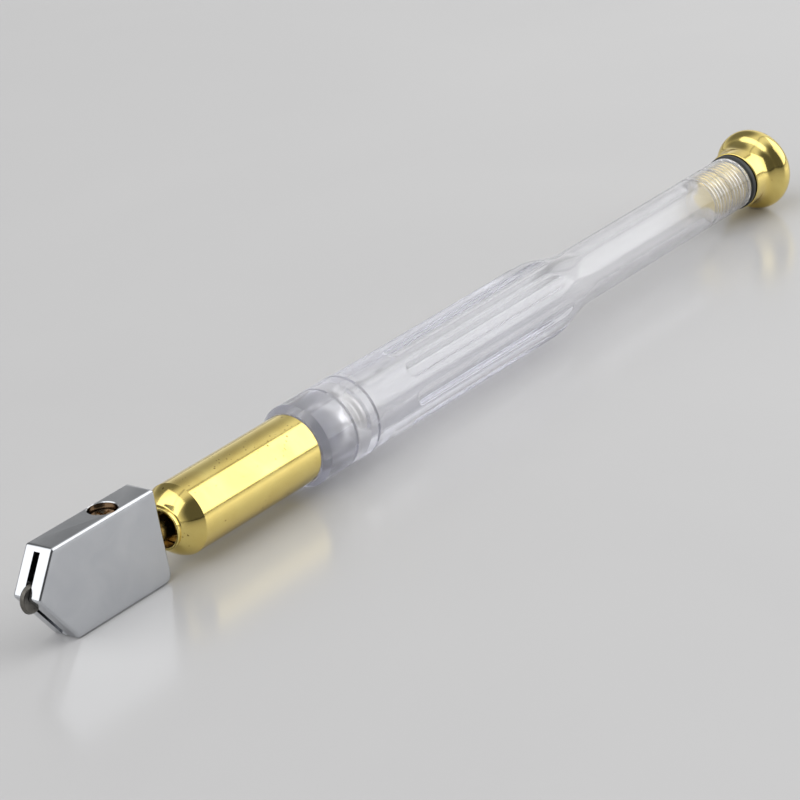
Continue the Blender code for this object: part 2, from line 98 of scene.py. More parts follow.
def corner_arc(before, corner, after, radius, steps):
    """The corner as an arc that touches both sides, with one more point along each side.

    The arc's centre lies on the corner's bisector, radius over the sine of half the angle away.
    """
    to_before, to_after = before - corner, after - corner
    side_a, side_b = np.linalg.norm(to_before), np.linalg.norm(to_after)
    a, b = to_before / side_a, to_after / side_b
    half = math.acos(np.clip(a @ b, -1, 1)) / 2
    touch = min(radius / math.tan(half), 0.42 * min(side_a, side_b))
    fitted = touch * math.tan(half)
    centre = corner + (a + b) / np.linalg.norm(a + b) * fitted / math.sin(half)
    start, end = (corner + a * touch - centre) / fitted, (corner + b * touch - centre) / fitted
    share = np.linspace(0, 1, steps + 1)[:, None]
    sweep = math.pi - 2 * half
    arc = np.sin((1 - share) * sweep) * start + np.sin(share * sweep) * end
    support = min(0.4 * fitted, 0.05 * min(side_a, side_b))
    return np.vstack([
        corner + a * (touch + support),
        centre + fitted * arc / math.sin(sweep),
        corner + b * (touch + support),
    ])


def rounded(corners, radius=0.12, steps=5, closed=True):
    """An outline through the corners, each rounded; an open outline keeps its two end points."""
    corners = np.array(corners, float)
    radii = np.broadcast_to(radius, len(corners))
    around = zip(np.roll(corners, 1, 0), corners, np.roll(corners, -1, 0), radii)
    arcs = [corner_arc(a, p, b, r, steps) if r > 0 else p[None] for a, p, b, r in around]
    if not closed:
        arcs[0], arcs[-1] = corners[:1], corners[-1:]
    return np.vstack(arcs)


def ellipse(centre, along, across, first, last, count):
    """Points on an ellipse from one angle to the other, in degrees, as (station, radius)."""
    angle = np.radians(np.linspace(first, last, count))
    return np.stack([centre + along * np.cos(angle), across * np.sin(angle)], -1)


def bulged(start, end, sweep, count):
    """Points on a circular arc between two outline points, which turns through sweep degrees.

    Its radius is half the chord over the sine of half the sweep. It bulges to the left of the
    chord, or to the right when sweep is negative.
    """
    start, end = np.array(start, float), np.array(end, float)
    chord = end - start
    half = math.radians(sweep) / 2
    radius = np.linalg.norm(chord) / (2 * math.sin(half))
    left = np.array([-chord[1], chord[0]]) / np.linalg.norm(chord)
    angle = half * np.linspace(1, -1, count)
    spoke = np.cos(angle)[:, None] * left + np.sin(angle)[:, None] * [-left[1], left[0]]
    return (start + end) / 2 - left * radius * math.cos(half) + radius * spoke


def ring_outline(start, end, inner, outer):
    """A plain ring's section, clockwise from its front inner corner."""
    return [(start, inner), (start, outer), (end, outer), (end, inner)]


def even_angles(count):
    return np.arange(count) * TURN / count


def grid_faces(rows, columns, closed):
    """Quads between neighbouring rows and columns; the columns close, and the rows do if asked."""
    last = rows if closed else rows - 1
    i, j = np.meshgrid(np.arange(last), np.arange(columns), indexing="ij")
    below, right = (i + 1) % rows, (j + 1) % columns
    quads = [i * columns + j, i * columns + right, below * columns + right, below * columns + j]
    return np.stack(quads, -1).reshape(-1, 4)


def lathe(outline, angles, turning=TOOL, shape=None):
    """Vertices and faces of the outline swung round the turning frame's axis.

    A vertex is origin + station * axis + radius * (cos * first + sin * second). An outline that
    begins and ends on the axis closes with two poles. shape changes the radius over the surface.
    """
    origin, axis, first, second = turning
    outline = np.array(outline, float)
    poles = abs(outline[0, 1]) < 1e-6 and abs(outline[-1, 1]) < 1e-6
    following = np.roll(outline, -1, 0)
    area = (outline[:, 0] * following[:, 1] - following[:, 0] * outline[:, 1]).sum()
    outline = outline[::-1] if area > 0 else outline
    rows = outline[1:-1] if poles else outline
    station, radius = (np.broadcast_to(rows[:, k, None], (len(rows), len(angles))) for k in (0, 1))
    if shape is not None:
        radius = shape(station, angles[None, :], radius)
    spoke = np.cos(angles)[:, None] * first + np.sin(angles)[:, None] * second
    points = origin + station[..., None] * axis + radius[..., None] * spoke
    points = points.reshape(-1, 3)
    faces = grid_faces(len(rows), len(angles), not poles).tolist()
    if poles:
        tips = origin + outline[[0, -1], 0][:, None] * axis
        here = np.arange(len(angles))
        beside = np.roll(here, -1)
        tail = (len(rows) - 1) * len(angles)
        front_tip = np.full_like(here, len(points))
        faces += np.stack([front_tip, beside, here], -1).tolist()
        faces += np.stack([front_tip + 1, tail + here, tail + beside], -1).tolist()
        points = np.vstack([points, tips])
    return points, faces


def loft(rings):
    """Rings of equal count joined in turn, with a flat face over each end, all facing outwards.

    The rings turn anticlockwise about the way they go when their area vector points that way.
    """
    rows, columns = rings.shape[:2]
    faces = grid_faces(rows, columns, False).tolist()
    faces += [list(range(columns))[::-1], list(range((rows - 1) * columns, rows * columns))]
    middle = rings[0].mean(0)
    area = np.cross(rings[0] - middle, np.roll(rings[0], -1, 0) - middle).sum(0)
    if area @ (rings[-1].mean(0) - middle) < 0:
        faces = [face[::-1] for face in faces]
    return rings.reshape(-1, 3), faces


def swept_wire(path, tangent, radius, sides=14):
    """A round wire along the path, with flat ends: rings square to the tangent at each point.

    Each ring's first spoke points away from the tool's axis, and its second is square to both.
    """
    outward = path - np.array([0, 0, AXIS_HEIGHT])
    outward[:, 0] = 0
    outward -= (outward * tangent).sum(-1, keepdims=True) * tangent
    outward /= np.linalg.norm(outward, axis=-1, keepdims=True)
    sideways = np.cross(tangent, outward)
    angle = even_angles(sides)[None, :, None]
    return path[:, None] + radius * (np.cos(angle) * outward[:, None] + np.sin(angle) * sideways[:, None])


def thread_cut(start, end, pitch, depth):
    """A V thread: the radius less depth times how far (station / pitch - turns) is from a crest."""

    def shape(station, angle, radius):
        phase = (station - start) / pitch - angle / TURN
        groove = 1 - 2 * np.abs(phase - np.round(phase))
        run_out = np.clip(np.minimum(station - start, end - station) / (0.6 * pitch), 0, 1)
        return radius - depth * groove * run_out

    return shape


def rows_between(start, end, spacing, radius):
    """Outline points at one radius, close enough together to carry a thread."""
    station = np.linspace(start, end, max(2, int(abs(end - start) / spacing) + 1))
    return np.stack([station, np.full_like(station, radius)], -1)


def mesh_object(name, points, faces, sharp_degrees=None):
    mesh = bpy.data.meshes.new(name)
    mesh.from_pydata((np.asarray(points) / MM).tolist(), [], faces)
    mesh.update()
    mesh.shade_smooth()
    if sharp_degrees:
        mesh.set_sharp_from_angle(angle=math.radians(sharp_degrees))
    piece = bpy.data.objects.new(name, mesh)
    bpy.context.scene.collection.objects.link(piece)
    return piece


def finish_piece(piece, body, node, finish):
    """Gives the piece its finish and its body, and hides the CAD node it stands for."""
    piece.data.materials.append(finish)
    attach(piece, body)
    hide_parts(node)
    return piece


def carved(piece, cutters, sharp_degrees):
    """Takes the cutters' volumes out of the piece for good, and removes the cutters."""
    for number, cutter in enumerate(cutters):
        cut = piece.modifiers.new(f"cut_{number}", "BOOLEAN")
        cut.operation = "DIFFERENCE"
        cut.solver = "EXACT"
        cut.object = cutter
    bpy.context.view_layer.update()
    evaluated = piece.evaluated_get(bpy.context.evaluated_depsgraph_get())
    mesh = bpy.data.meshes.new_from_object(evaluated)
    piece.modifiers.clear()
    piece.data = mesh
    mesh.shade_smooth()
    mesh.set_sharp_from_angle(angle=math.radians(sharp_degrees))
    for cutter in cutters:
        bpy.data.objects.remove(cutter)
    return piece


def block(name, low, high):
    """A box between two corners, its eight corners counted in binary."""
    low, high = np.array(low, float), np.array(high, float)
    bits = np.array([[k >> 2 & 1, k >> 1 & 1, k & 1] for k in range(8)])
    faces = [(0, 1, 3, 2), (4, 6, 7, 5), (0, 4, 5, 1), (2, 3, 7, 6), (0, 2, 6, 4), (1, 5, 7, 3)]
    return mesh_object(name, low + bits * (high - low), faces)


# ---------------------------------------------------------------- shader groups


def new_group(name, inputs, outputs):
    group = bpy.data.node_groups.new(name, "ShaderNodeTree")
    for label, kind, value in inputs:
        socket = group.interface.new_socket(name=label, in_out="INPUT", socket_type=kind)
        socket.default_value = value
    for label, kind in outputs:
        group.interface.new_socket(name=label, in_out="OUTPUT", socket_type=kind)
    return group, group.nodes.new("NodeGroupInput"), group.nodes.new("NodeGroupOutput")


def add(tree, kind, settings=None, **inputs):
    """A node with its settings, and its inputs set to a value or linked from a socket."""
    node = tree.nodes.new(kind)
    for key, value in (settings or {}).items():
        setattr(node, key, value)
    for label, value in inputs.items():
        socket = node.inputs[label.replace("_", " ") if not label[1:].isdigit() else int(label[1:])]
        if isinstance(value, bpy.types.NodeSocket):
            tree.links.new(value, socket)
        else:
            socket.default_value = value
    return node


def arithmetic(tree, operation, *values, clamp=False):
    """The result of a Math node on the values, each of them a number or another node's socket."""
    inputs = {f"_{place}": value for place, value in enumerate(values)}
    return add(tree, "ShaderNodeMath", {"operation": operation, "use_clamp": clamp}, **inputs).outputs[0]


def vectors(tree, operation, first, second):
    """A Vector Math node on two vectors."""
    return add(tree, "ShaderNodeVectorMath", {"operation": operation}, _0=first, _1=second)


def polish_group():
    """Fine marks of polishing: noise drawn out along one direction, plus soft hand marks.

    Roughness is base + spread * (lines + smudges - 1), and Height is the lines alone.
    """
    group, inp, out = new_group(
        "polish_marks",
        [
            ("Stretch", "NodeSocketVector", (1.0, 1.0, 1.0)),
            ("Line Scale", "NodeSocketFloat", 4000.0),
            ("Smudge Scale", "NodeSocketFloat", 120.0),
            ("Base", "NodeSocketFloat", 0.12),
            ("Spread", "NodeSocketFloat", 0.06),
        ],
        [("Roughness", "NodeSocketFloat"), ("Height", "NodeSocketFloat"), ("Smudges", "NodeSocketFloat")],
    )
    where = add(group, "ShaderNodeTexCoord").outputs["Object"]
    drawn = vectors(group, "MULTIPLY", where, inp.outputs["Stretch"])
    lines = add(
        group, "ShaderNodeTexNoise", None,
        Vector=drawn.outputs[0], Scale=inp.outputs["Line Scale"], Detail=3.0, Roughness=0.6,
    )
    smudges = add(
        group, "ShaderNodeTexNoise", None,
        Vector=where, Scale=inp.outputs["Smudge Scale"], Detail=4.0, Roughness=0.55, Distortion=0.6,
    )
    both = arithmetic(group, "ADD", lines.outputs["Fac"], smudges.outputs["Fac"])
    centred = arithmetic(group, "SUBTRACT", both, 1.0)
    rough = arithmetic(group, "MULTIPLY_ADD", centred, inp.outputs["Spread"], inp.outputs["Base"], clamp=True)
    group.links.new(rough, out.inputs["Roughness"])
    group.links.new(lines.outputs["Fac"], out.inputs["Height"])
    group.links.new(smudges.outputs["Fac"], out.inputs["Smudges"])
    return group


def specks_group():
    """Small round specks about the centres of scattered cells, kept only where a noise is high."""
    group, inp, out = new_group(
        "specks",
        [
            ("Scale", "NodeSocketFloat", 900.0),
            ("Size", "NodeSocketFloat", 0.16),
            ("Share", "NodeSocketFloat", 0.6),
        ],
        [("Mask", "NodeSocketFloat")],
    )
    where = add(group, "ShaderNodeTexCoord").outputs["Object"]
    cells = add(group, "ShaderNodeTexVoronoi", None, Vector=where, Scale=inp.outputs["Scale"], Randomness=1.0)
    near = arithmetic(group, "LESS_THAN", cells.outputs["Distance"], inp.outputs["Size"])
    patches = add(group, "ShaderNodeTexNoise", None, Vector=where, Scale=260.0, Detail=2.0)
    chosen = arithmetic(group, "GREATER_THAN", patches.outputs["Fac"], inp.outputs["Share"])
    group.links.new(arithmetic(group, "MULTIPLY", near, chosen), out.inputs["Mask"])
    return group


def bore_group():
    """1 inside a bore and 0 outside it.

    Inside is nearer than Radius to the line through Point along Along, and past Start on that line.
    """
    group, inp, out = new_group(
        "inside_bore",
        [
            ("Point", "NodeSocketVector", (0.0, 0.0, 0.0)),
            ("Along", "NodeSocketVector", (1.0, 0.0, 0.0)),
            ("Radius", "NodeSocketFloat", 0.001),
            ("Start", "NodeSocketFloat", -1.0),
        ],
        [("Mask", "NodeSocketFloat")],
    )
    where = add(group, "ShaderNodeTexCoord").outputs["Object"]
    line = inp.outputs["Along"]
    offset = vectors(group, "SUBTRACT", where, inp.outputs["Point"]).outputs[0]
    along = vectors(group, "DOT_PRODUCT", offset, line).outputs["Value"]
    foot = add(group, "ShaderNodeVectorMath", {"operation": "SCALE"}, _0=line, Scale=along).outputs[0]
    away = vectors(group, "DISTANCE", offset, foot).outputs["Value"]
    near = arithmetic(group, "LESS_THAN", away, inp.outputs["Radius"])
    past = arithmetic(group, "GREATER_THAN", along, inp.outputs["Start"])
    group.links.new(arithmetic(group, "MULTIPLY", near, past), out.inputs["Mask"])
    return group


POLISH = polish_group()
SPECKS = specks_group()
BORE = bore_group()


def use(tree, group, **inputs):
    node = tree.nodes.new("ShaderNodeGroup")
    node.node_tree = group
    for label, value in inputs.items():
        node.inputs[label.replace("_", " ")].default_value = value
    return node


def new_material(name, **plain):
    """A material with one Principled shader whose plain values are set on its own sockets."""
    made = bpy.data.materials.new(name)
    made.use_nodes = True
    shader = made.node_tree.nodes["Principled BSDF"]
    for label, value in plain.items():
        shader.inputs[label.replace("_", " ")].default_value = value
    return made, made.node_tree, shader


def bump(tree, shader, height, strength, distance):
    node = add(tree, "ShaderNodeBump", None, Strength=strength, Distance=distance, Height=height)
    tree.links.new(node.outputs["Normal"], shader.inputs["Normal"])


def two_tone(tree, shader, factor, dark, light, low=0.3, high=0.7):
    """Base Color between two tones, by a factor spread out between low and high."""
    ramp = tree.nodes.new("ShaderNodeValToRGB")
    ramp.color_ramp.elements[0].position = low
    ramp.color_ramp.elements[1].position = high
    ramp.color_ramp.elements[0].color = (*dark, 1)
    ramp.color_ramp.elements[1].color = (*light, 1)
    tree.links.new(factor, ramp.inputs["Fac"])
    tree.links.new(ramp.outputs["Color"], shader.inputs["Base Color"])
    return ramp


def metal(name, dark, light, stretch, line_scale, base, spread, lift, smudge_scale=120.0):
    """A polished metal between two tones. Its marks are drawn out where the stretch is small.

    base and spread set the roughness, and lift is the height of the marks in metres.
    """
    made, tree, shader = new_material(name, Metallic=1.0)
    marks = use(
        tree, POLISH,
        Stretch=stretch, Line_Scale=line_scale, Smudge_Scale=smudge_scale, Base=base, Spread=spread,
    )
    two_tone(tree, shader, marks.outputs["Smudges"], dark, light)
    tree.links.new(marks.outputs["Roughness"], shader.inputs["Roughness"])
    bump(tree, shader, marks.outputs["Height"], 0.25, lift)
    return made, tree, shader


def toned(tree, shader, mask, tone):
    """Lays another tone over the base colour where the mask is 1."""
    under = shader.inputs["Base Color"].links[0].from_socket
    mix = add(tree, "ShaderNodeMix", {"data_type": "RGBA"})
    tree.links.new(mask, mix.inputs["Factor"])
    tree.links.new(under, mix.inputs["A"])
    mix.inputs["B"].default_value = (*tone, 1)
    tree.links.new(mix.outputs["Result"], shader.inputs["Base Color"])


def speckled(tree, shader, scale, size, share, tone):
    """Adds scattered specks of another tone."""
    toned(tree, shader, use(tree, SPECKS, Scale=scale, Size=size, Share=share).outputs["Mask"], tone)


def shaded_bore(tree, shader, turning, radius, start, tone):
    """Adds a dark tone inside a bore along the turning frame's axis, as painted shade in its hollow."""
    origin, axis = tuple(turning[0] / MM), tuple(turning[1])
    inside = use(tree, BORE, Point=origin, Along=axis, Radius=radius / MM, Start=start / MM)
    toned(tree, shader, inside.outputs["Mask"], tone)


BRASS_DARK, BRASS_LIGHT = (0.75, 0.58, 0.18), (0.86, 0.70, 0.245)


def chrome_plate():
    """Chrome over zinc: soft hand marks, a few specks, and painted shade darkening the screw's pocket."""
    made, tree, shader = metal(
        "chrome_plate", (0.46, 0.473, 0.497), (0.53, 0.543, 0.565),
        (0.25, 1.0, 1.0), 2600.0, base=0.16, spread=0.10, lift=2e-6, smudge_scale=150.0,
    )
    speckled(tree, shader, 420.0, 0.05, 0.60, (0.34, 0.345, 0.36))
    # Painted shade: the screw's pocket is darkened to a dark brown, standing in for the shade in the recess.
    shaded_bore(tree, shader, SCREW, SCREW_POCKET + 0.03, 0.0, (0.13, 0.10, 0.075))
    return made


def drawn_brass():
    """The ferrule: marks run along it, as on a drawn and polished tube, and its bore is darkened with painted
    shade.
    """
    made, tree, shader = metal(
        "drawn_brass", BRASS_DARK, BRASS_LIGHT,
        (0.06, 1.0, 1.0), 5200.0, base=0.13, spread=0.10, lift=3e-6, smudge_scale=170.0,
    )
    speckled(tree, shader, 700.0, 0.13, 0.55, (0.34, 0.24, 0.07))
    speckled(tree, shader, 1500.0, 0.16, 0.57, (0.40, 0.29, 0.09))
    # Painted shade: the ferrule's bore is darkened all along its length, standing in for the shade inside it.
    shaded_bore(tree, shader, TOOL, FERRULE_BORE + 0.06, -MM, (0.20, 0.13, 0.045))
    return made


def turned_brass():
    """Lathe-turned brass: marks run round the axis, so they are close together along it."""
    made, tree, shader = metal(
        "turned_brass", BRASS_DARK, BRASS_LIGHT,
        (1.0, 0.05, 0.05), 5200.0, base=0.14, spread=0.10, lift=2e-6, smudge_scale=200.0,
    )
    speckled(tree, shader, 800.0, 0.09, 0.58, (0.38, 0.27, 0.08))
    return made


def bore_shaded_brass():
    """The shaft and bush, seen down the ferrule's bore: duller, and darker and browner as painted shade
    there, with a blotchy tone.
    """
    return metal(
        "bore_shaded_brass", (0.16, 0.10, 0.03), (0.46, 0.33, 0.11),
        (1.0, 0.1, 0.1), 5200.0, base=0.24, spread=0.16, lift=3e-6, smudge_scale=700.0,
    )[0]


def screw_brass():
    """The clamp screw: pale and blotchy, with marks that run down its length."""
    return metal(
        "screw_brass", (0.66, 0.50, 0.34), (0.93, 0.80, 0.62),
        (1.0, 1.0, 0.1), 6000.0, base=0.22, spread=0.14, lift=4e-6, smudge_scale=900.0,
    )[0]


def drawn_steel():
    return metal(
        "drawn_steel", (0.42, 0.42, 0.43), (0.60, 0.60, 0.61),
        (1.0, 0.2, 0.2), 7000.0, base=0.28, spread=0.14, lift=3e-6,
    )[0]


def satin_nickel():
    return metal(
        "satin_nickel", (0.74, 0.73, 0.72), (0.88, 0.87, 0.86),
        (1.0, 0.3, 0.3), 2600.0, base=0.34, spread=0.16, lift=6e-6, smudge_scale=320.0,
    )[0]


def ground_carbide():
    """The wheel: dark and finely ground, with marks that run across its rim."""
    return metal(
        "ground_carbide", (0.10, 0.095, 0.085), (0.22, 0.21, 0.19),
        (1.0, 0.2, 1.0), 9000.0, base=0.34, spread=0.18, lift=3e-6, smudge_scale=500.0,
    )[0]


def moulded_rubber():
    made, tree, shader = new_material("moulded_rubber", Specular_IOR_Level=0.45)
    marks = use(tree, POLISH, Line_Scale=5200.0, Smudge_Scale=500.0, Base=0.46, Spread=0.25)
    two_tone(tree, shader, marks.outputs["Smudges"], (0.010, 0.012, 0.012), (0.035, 0.038, 0.036))
    tree.links.new(marks.outputs["Roughness"], shader.inputs["Roughness"])
    bump(tree, shader, marks.outputs["Height"], 0.5, 1e-5)
    return made


def twisted_cotton():
    made, tree, shader = new_material("twisted_cotton", Sheen_Weight=0.5, Sheen_Roughness=0.5)
    marks = use(
        tree, POLISH,
        Stretch=(0.3, 1.0, 1.0), Line_Scale=9000.0, Smudge_Scale=1500.0, Base=0.92, Spread=0.1,
    )
    two_tone(tree, shader, marks.outputs["Height"], (0.55, 0.49, 0.36), (0.86, 0.82, 0.70))
    tree.links.new(marks.outputs["Roughness"], shader.inputs["Roughness"])
    bump(tree, shader, marks.outputs["Height"], 0.8, 3e-5)
    return made


def clear_plastic():
    """Clear plastic with a lavender cast that deepens with the thickness, and faint flow marks.

    Shadow rays pass straight through it, so that it throws the light shadow that clear plastic does.
    """
    made, tree, shader = new_material(
        "clear_plastic", Transmission_Weight=0.88, IOR=1.46, Base_Color=(0.885, 0.885, 0.892, 1.0)
    )
    marks = use(
        tree, POLISH,
        Stretch=(0.12, 1.0, 1.0), Line_Scale=900.0, Smudge_Scale=160.0, Base=0.12, Spread=0.07,
    )
    tree.links.new(marks.outputs["Roughness"], shader.inputs["Roughness"])
    bump(tree, shader, marks.outputs["Height"], 0.12, 1.2e-5)
    depth = add(tree, "ShaderNodeVolumeAbsorption", None, Color=(0.70, 0.72, 0.93, 1.0), Density=24.0)
    output = tree.nodes["Material Output"]
    tree.links.new(depth.outputs["Volume"], output.inputs["Volume"])
    clear = add(tree, "ShaderNodeBsdfTransparent", None, Color=(0.92, 0.915, 0.90, 1.0))
    mix = add(tree, "ShaderNodeMixShader", None, _0=add(tree, "ShaderNodeLightPath").outputs["Is Shadow Ray"])
    tree.links.new(shader.outputs["BSDF"], mix.inputs[1])
    tree.links.new(clear.outputs["BSDF"], mix.inputs[2])
    tree.links.new(mix.outputs["Shader"], output.inputs["Surface"])
    return made


def pale_table():
    """The pale table: glossy enough for soft reflections, with faint cloudy marks."""
    made, tree, shader = new_material("pale_table", Specular_IOR_Level=0.42)
    marks = use(tree, POLISH, Line_Scale=60.0, Smudge_Scale=9.0, Base=0.19, Spread=0.05)
    two_tone(tree, shader, marks.outputs["Smudges"], (0.565, 0.563, 0.568), (0.59, 0.588, 0.592))
    tree.links.new(marks.outputs["Roughness"], shader.inputs["Roughness"])
    return made


CHROME = chrome_plate()
FERRULE_BRASS = drawn_brass()
TURNED_BRASS = turned_brass()
# Brass darkened as painted shade, for the shaft and bush seen down the ferrule's bore.
BORE_SHADED_BRASS = bore_shaded_brass()
SCREW_BRASS = screw_brass()
STEEL = drawn_steel()
NICKEL = satin_nickel()
CARBIDE = ground_carbide()
RUBBER = moulded_rubber()
COTTON = twisted_cotton()
PLASTIC = clear_plastic()


# ---------------------------------------------------------------- head and wheel

HEAD_EDGE = 0.42
HEAD_CORNER = 0.5
SLOT_HALF = 0.5
SLOT_DEPTH = 5.85
SLOT_TOP_DROP = 0.64
SHAFT_BORE = 1.66
WICK_BORE = 0.62
SCREW_THREAD_BORE = 1.5
AXLE_BORE = 0.45


def offset_sides(corners, inset):
    """The corners of the same outline with every side moved inwards by inset.

    Each corner moves along its bisector by inset over the sine of half its angle.
    """
    a, b = np.roll(corners, 1, 0) - corners, np.roll(corners, -1, 0) - corners
    a /= np.linalg.norm(a, axis=-1, keepdims=True)
    b /= np.linalg.norm(b, axis=-1, keepdims=True)
    half = np.arccos(np.clip((a * b).sum(-1), -1, 1)) / 2
    bisector = (a + b) / np.linalg.norm(a + b, axis=-1, keepdims=True)
    return corners + bisector * (inset / np.sin(half))[:, None]


def head_side_view():
    """The head's corners as (x, z), from the top front corner round by the nose."""
    nose, rear = HEAD_LOW[0], HEAD_HIGH[0]
    top, bottom = HEAD_HIGH[2], HEAD_LOW[2]
    return np.array([
        (nose + 3.55, top),
        (nose, AXIS_HEIGHT + 1.42),
        (nose + 6.1, bottom),
        (rear, bottom),
        (rear - 1.3, top),
    ])


def head_block():
    """The side view carried across the head's thickness, its rim a quarter circle on both sides.

    Along the quarter circle the outline is inset by edge * (1 - sin), edge * (1 - cos) in from
    the face. Each face has one smaller ring inside its rim, so that its flat stays flat.
    """
    corners = head_side_view()
    half = (HEAD_HIGH[1] - HEAD_LOW[1]) / 2
    flat_inset, least_radius = 0.9, 0.03
    corner_radii = np.array([1, 1, 1, 2.4, 1.3]) * HEAD_CORNER
    quarter = np.radians(np.linspace(0, 90, 8))
    falling, rising = HEAD_EDGE * (1 - np.sin(quarter)), HEAD_EDGE * (1 - np.cos(quarter))
    inset = np.concatenate([[flat_inset], falling, rising, [flat_inset]])
    first = -half + rising
    across = np.concatenate([[-half], first, -first[::-1], [half]])
    rings = []
    for level, y in zip(inset, across):
        radii = np.maximum(corner_radii - level, least_radius)
        side = rounded(offset_sides(corners, level), radii, 6)
        rings.append(np.stack([side[:, 0], np.full(len(side), y), side[:, 1]], -1))
    return mesh_object("head_block", *loft(np.array(rings)))


def make_head():
    """The block, less the wheel slot, the shaft's and wick's bores, the screw pocket and axle hole."""
    far = 9.0
    slot = block(
        "slot",
        (HEAD_LOW[0] - far, -SLOT_HALF, HEAD_LOW[2] - far),
        (HEAD_LOW[0] + SLOT_DEPTH, SLOT_HALF, HEAD_HIGH[2] - SLOT_TOP_DROP),
    )
    in_slot, bore_floor, rear = HEAD_LOW[0] + SLOT_DEPTH - 1, SHAFT_FRONT - 0.4, HEAD_HIGH[0]
    bores = [
        (in_slot, 0),
        (in_slot, WICK_BORE),
        (bore_floor, WICK_BORE),
        (bore_floor, SHAFT_BORE),
        (rear - 0.75, SHAFT_BORE),
        (rear + 1, SHAFT_BORE + 0.5),
        (rear + 1, 0),
    ]
    bore = mesh_object("bore", *lathe(bores, even_angles(72)))
    thread_floor, seat, top = 0.5, 4.9, HEAD_HIGH[2] - AXIS_HEIGHT
    pocket = [
        (thread_floor, 0),
        (thread_floor, SCREW_THREAD_BORE),
        (seat, SCREW_THREAD_BORE),
        (seat, SCREW_POCKET),
        (top - 0.14, SCREW_POCKET),
        (top + 1, SCREW_POCKET + 1.14),
        (top + 1, 0),
    ]
    hole = mesh_object("pocket", *lathe(pocket, even_angles(96), SCREW))
    near, rim, beyond = -1.6, 2.15, 3.15
    axle = [(near, 0), (near, AXLE_BORE), (rim, AXLE_BORE), (beyond, AXLE_BORE + 1.0), (beyond, 0)]
    axle_hole = mesh_object("axle_hole", *lathe(axle, even_angles(64), WHEEL))
    head = carved(head_block(), [slot, bore, hole, axle_hole], 24)
    finish_piece(head, "head", "head_body", CHROME)


def make_wheel():
    """A disc with a V edge ground in two steps, and a chamfered bore."""
    radius = (WHEEL_HIGH[2] - WHEEL_LOW[2]) / 2
    half = (WHEEL_HIGH[1] - WHEEL_LOW[1]) / 2
    bore = 0.46
    corners = [
        (-half, bore + 0.1),
        (-half, radius - 0.3),
        (-half + 0.1, radius - 0.19),
        (0, radius),
        (half - 0.1, radius - 0.19),
        (half, radius - 0.3),
        (half, bore + 0.1),
        (half - 0.1, bore),
        (-half + 0.1, bore),
    ]
    outline = rounded(corners, [0.03, 0.05, 0.05, 0.012, 0.05, 0.05, 0.03, 0.03, 0.03], 3)
    wheel = mesh_object("wheel_disc", *lathe(outline, even_angles(160), WHEEL))
    finish_piece(wheel, "wheel", "cutting_wheel", CARBIDE)


def make_axle():
    """A plain pin with rounded ends."""
    low, high = box_mm("wheel_axle")
    radius = (high[2] - low[2]) / 2
    corners = [(low[1], 0), (low[1], radius), (high[1], radius), (high[1], 0)]
    outline = rounded(corners, [0, 0.1, 0.1, 0], 6, closed=False)
    axle = mesh_object("axle_pin", *lathe(outline, even_angles(48), WHEEL))
    finish_piece(axle, "head", "wheel_axle", STEEL)


def make_clamp_screw():
    """A flat screw head with a rounded edge and a cross recess, over a threaded shank and a plain tip."""
    radius = radius_of("head_screw")
    tip, top = SCREW_LOW[2] - AXIS_HEIGHT, SCREW_HIGH[2] - AXIS_HEIGHT
    tip_radius, shank_radius = 0.95, 1.42
    start, under = 1.75, 5.05
    pitch, depth = 0.5, 0.2
    point = [(tip, 0), (tip, tip_radius), (start, tip_radius), (start, shank_radius)]
    crown = [(under - 0.1, shank_radius), (under, radius), (top, radius - 0.05), (top, 0)]
    outline = np.vstack([
        [(tip, 0)],
        rounded(point, [0, 0.15, 0.05, 0], 4, closed=False)[1:-1],
        rows_between(start, under - 0.1, 0.06, shank_radius),
        rounded(crown, [0, 0.1, 0.3, 0], 7, closed=False)[1:],
    ])
    threads = thread_cut(start, under, pitch, depth)
    screw = mesh_object("clamp_screw", *lathe(outline, even_angles(96), SCREW, threads))
    long, half, floor = 1.25, 0.24, SCREW_HIGH[2] - 0.75
    x, y = SCREW[0][0], SCREW[0][1]
    bars = [
        block("bar_a", (x - long, y - half, floor), (x + long, y + half, floor + 2)),
        block("bar_b", (x - half, y - long, floor), (x + half, y + long, floor + 2)),
    ]
    screw = carved(screw, bars, 35)
    finish_piece(screw, "head", "head_screw", SCREW_BRASS)


# ---------------------------------------------------------------- shaft, ferrule and valve


def make_shaft():
    """The drilled shaft: plain ends, the screw's groove and the spring's flange."""
    radius, bore = 1.6, 0.75
    groove, groove_half, groove_radius, tail_radius = SCREW[0][0], 1.15, 1.05, 1.5
    flange_front, flange_rear = SHAFT_REAR - 5.8, SHAFT_REAR - 4.8
    corners = [
        (SHAFT_FRONT, bore),
        (SHAFT_FRONT, radius),
        (groove - groove_half, radius),
        (groove - groove_half, groove_radius),
        (groove + groove_half, groove_radius),
        (groove + groove_half, radius),
        (flange_front, radius),
        (flange_front, radius_of("head_shaft")),
        (flange_rear, radius_of("head_shaft")),
        (flange_rear, tail_radius),
        (SHAFT_REAR, tail_radius),
        (SHAFT_REAR, bore),
    ]
    shaft = mesh_object("drilled_shaft", *lathe(rounded(corners, 0.12, 4), even_angles(72)))
    drill = [(-3, 0), (-3, 0.4), (3, 0.4), (3, 0)]
    across = (np.array([SHAFT_REAR - 3.0, 0, AXIS_HEIGHT]), Z, X, Y)
    shaft = carved(shaft, [mesh_object("oil_hole", *lathe(drill, even_angles(24), across))], 35)
    # The shaft's brass is darkened as painted shade in the ferrule's bore.
    finish_piece(shaft, "shaft", "head_shaft", BORE_SHADED_BRASS)


